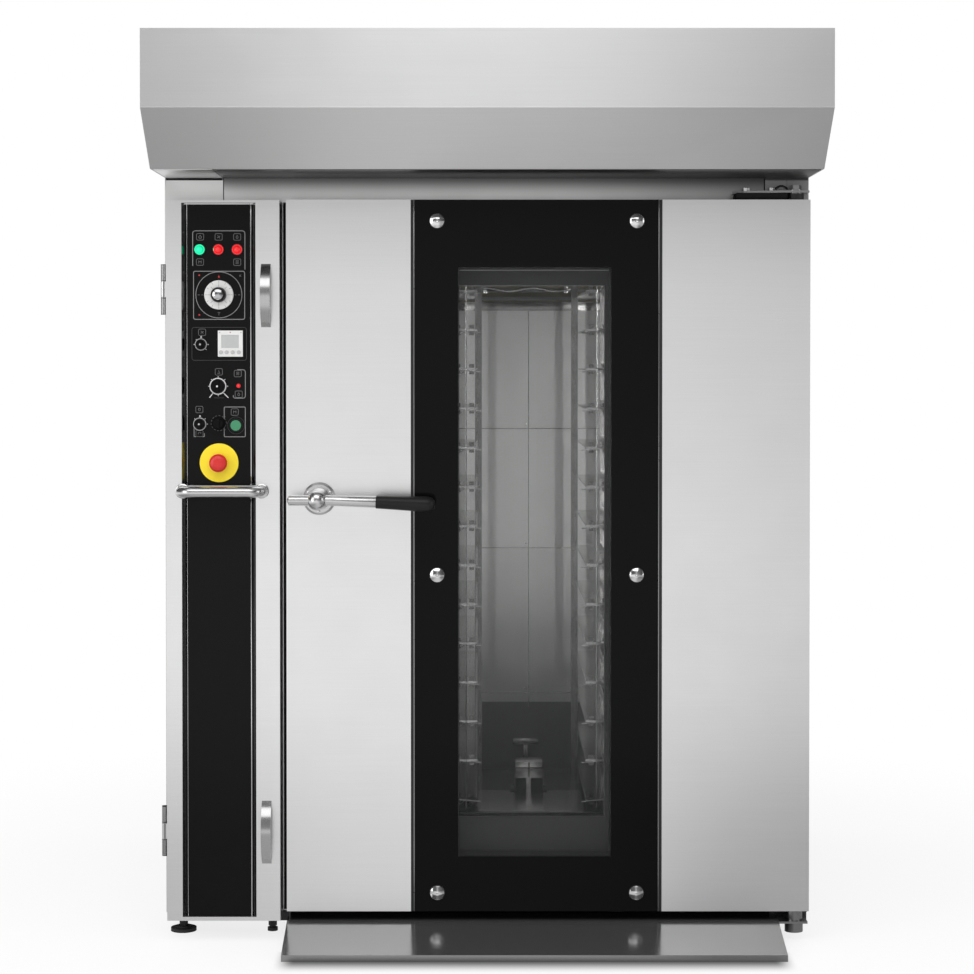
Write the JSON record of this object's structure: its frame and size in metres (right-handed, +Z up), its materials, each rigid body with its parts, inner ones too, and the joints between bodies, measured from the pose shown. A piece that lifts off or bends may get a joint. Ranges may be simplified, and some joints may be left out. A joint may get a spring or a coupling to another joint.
{
  "type": "rotating rack oven",
  "caption": "Free-standing bakery oven with a glazed swing door, control column, steam canopy, entry ramp and a motor-turned tray rack inside.",
  "frame": {"origin": "on the floor, under the middle of the overall box", "axes": "+Z up, +X to the right seen from the front, +Y to the back, so the door faces -Y"},
  "size_m": [1.5, 1.65, 2.118],
  "materials": {
    "stainless": "fine brushed stainless sheet",
    "polished": "polished steel",
    "dark_steel": "dark grey painted steel",
    "liner_steel": "chamber sheet, dulled by heat",
    "rack_steel": "bright rack steel",
    "mineral_wool": "mineral wool slab",
    "heater_sheath": "heat-tinted element sheath",
    "motor_paint": "blue-grey motor enamel",
    "black_glass": "tempered glass with a black printed border round a clear window",
    "clear_glass": "clear heat-resistant glass",
    "black_panel": "gloss black panel with pale printed lines",
    "black_plastic": "black moulded plastic",
    "white_plastic": "white moulded plastic",
    "lamp_red": "red lens",
    "yellow_plate": "yellow backing disc",
    "red_button": "red mushroom head",
    "green_button": "dull green push-button",
    "seal_rubber": "black silicone seal",
    "foot_rubber": "black rubber and steel foot",
    "wheel_resin": "heat-resistant black resin wheel"
  },
  "bodies": {
    "oven_body": {"base_frame": "dark_steel", "levelling_feet": "foot_rubber", "left_side_panel": "stainless", "right_side_panel": "stainless", "rear_panel": "stainless", "top_panel": "stainless", "front_frame": "stainless", "control_cabinet": "stainless", "control_hinges": "polished", "chamber_liner": "liner_steel", "chamber_floor": "liner_steel", "chamber_back_wall": "liner_steel", "insulation": "mineral_wool", "roof_deck": "dark_steel", "heater_bank": "heater_sheath", "fan_motor": "motor_paint", "steam_generator": "liner_steel", "hood_canopy": "stainless", "entry_ramp": "stainless", "door_brackets": "polished", "gear_motor": "motor_paint", "shaft_bearing": "dark_steel"},
    "main_door": {"door_frame": "dark_steel", "door_left_skin": "stainless", "door_right_skin": "stainless", "door_outer_glass": "black_glass", "door_inner_glass": "clear_glass", "door_liner": "liner_steel", "glass_bolts": "polished", "door_gasket": "seal_rubber", "handle_rose": "polished"},
    "door_lever": {"lever_arm": "polished", "lever_grip": "black_plastic", "latch_spindle": "polished"},
    "panel_door": {"control_door": "stainless", "control_panel": "black_panel", "lower_panel": "black_panel", "guard_handle": "polished", "pull_handles": "polished", "indicator_lamps": "lamp_red", "timer_display": "white_plastic", "estop_plate": "yellow_plate"},
    "thermostat": {"thermostat_knob": "white_plastic"},
    "fan_dial": {"fan_knob": "black_plastic"},
    "steam_dial": {"steam_knob": "black_plastic"},
    "light_dial": {"light_knob": "black_plastic"},
    "mode_dial": {"mode_knob": "black_plastic"},
    "start": {"start_button": "green_button"},
    "estop": {"estop_button": "red_button"},
    "rack": {"rack_frame": "rack_steel", "rack_ledges": "rack_steel", "rack_shaft": "dark_steel"},
    "left_castor": {"left_castor_fork": "rack_steel"},
    "right_castor": {"right_castor_fork": "rack_steel"},
    "wheel_front_left": {"front_left_wheel": "wheel_resin"},
    "wheel_front_right": {"front_right_wheel": "wheel_resin"},
    "wheel_rear_left": {"rear_left_wheel": "wheel_resin"},
    "wheel_rear_right": {"rear_right_wheel": "wheel_resin"},
    "pinion": {"drive_pinion": "dark_steel"},
    "impeller": {"fan_impeller": "liner_steel"}
  },
  "joints": [
    {"name": "door_swing", "type": "hinge", "parent": "oven_body", "child": "main_door", "pos_m": [0.712, -0.475, 0.9], "axis": [0, 0, 1], "range_deg": [0, 110]},
    {"name": "lever_turn", "type": "hinge", "parent": "main_door", "child": "door_lever", "pos_m": [-0.385, -0.587, 1.024], "axis": [0, 1, 0], "range_deg": [0, 90]},
    {"name": "panel_door_swing", "type": "hinge", "parent": "oven_body", "child": "panel_door", "pos_m": [-0.7445, -0.497, 0.88], "axis": [0, 0, 1], "range_deg": [-120, 0]},
    {"name": "thermostat_turn", "type": "hinge", "parent": "panel_door", "child": "thermostat", "pos_m": [-0.616, -0.503, 1.492], "axis": [0, 1, 0], "range_deg": [0, 270]},
    {"name": "fan_dial_turn", "type": "hinge", "parent": "panel_door", "child": "fan_dial", "pos_m": [-0.657, -0.503, 1.378], "axis": [0, 1, 0], "range_deg": [0, 270]},
    {"name": "steam_dial_turn", "type": "hinge", "parent": "panel_door", "child": "steam_dial", "pos_m": [-0.618, -0.503, 1.282], "axis": [0, 1, 0], "range_deg": [0, 270]},
    {"name": "light_dial_turn", "type": "hinge", "parent": "panel_door", "child": "light_dial", "pos_m": [-0.66, -0.503, 1.195], "axis": [0, 1, 0], "range_deg": [0, 90]},
    {"name": "mode_dial_turn", "type": "hinge", "parent": "panel_door", "child": "mode_dial", "pos_m": [-0.617, -0.503, 1.197], "axis": [0, 1, 0], "range_deg": [-45, 45]},
    {"name": "start_press", "type": "slide", "parent": "panel_door", "child": "start", "axis": [0, 1, 0], "range_m": [0, 0.003], "stiffness_N_per_m": 400},
    {"name": "estop_press", "type": "slide", "parent": "panel_door", "child": "estop", "axis": [0, 1, 0], "range_m": [0, 0.004]},
    {"name": "rack_spin", "type": "hinge", "parent": "oven_body", "child": "rack", "pos_m": [0.108, 0.06, 0.9], "axis": [0, 0, 1], "continuous": true},
    {"name": "left_castor_swivel", "type": "hinge", "parent": "rack", "child": "left_castor", "pos_m": [-0.052, -0.18, 0.2], "axis": [0, 0, 1], "continuous": true},
    {"name": "right_castor_swivel", "type": "hinge", "parent": "rack", "child": "right_castor", "pos_m": [0.268, -0.18, 0.2], "axis": [0, 0, 1], "continuous": true},
    {"name": "front_left_wheel_roll", "type": "hinge", "parent": "left_castor", "child": "wheel_front_left", "pos_m": [-0.052, -0.15, 0.125], "axis": [1, 0, 0], "continuous": true},
    {"name": "front_right_wheel_roll", "type": "hinge", "parent": "right_castor", "child": "wheel_front_right", "pos_m": [0.268, -0.15, 0.125], "axis": [1, 0, 0], "continuous": true},
    {"name": "rear_left_wheel_roll", "type": "hinge", "parent": "rack", "child": "wheel_rear_left", "pos_m": [-0.052, 0.3, 0.125], "axis": [1, 0, 0], "continuous": true},
    {"name": "rear_right_wheel_roll", "type": "hinge", "parent": "rack", "child": "wheel_rear_right", "pos_m": [0.268, 0.3, 0.125], "axis": [1, 0, 0], "continuous": true},
    {"name": "pinion_spin", "type": "hinge", "parent": "oven_body", "child": "pinion", "pos_m": [0.2685, 0.06, 1.87], "axis": [0, 0, 1], "continuous": true},
    {"name": "impeller_spin", "type": "hinge", "parent": "oven_body", "child": "impeller", "pos_m": [0.108, 0.614, 1.6], "axis": [0, 0, 1], "continuous": true}
  ],
  "couplings": [
    {"joint": "pinion_spin", "follows": "rack_spin", "ratio": -3}
  ]
}
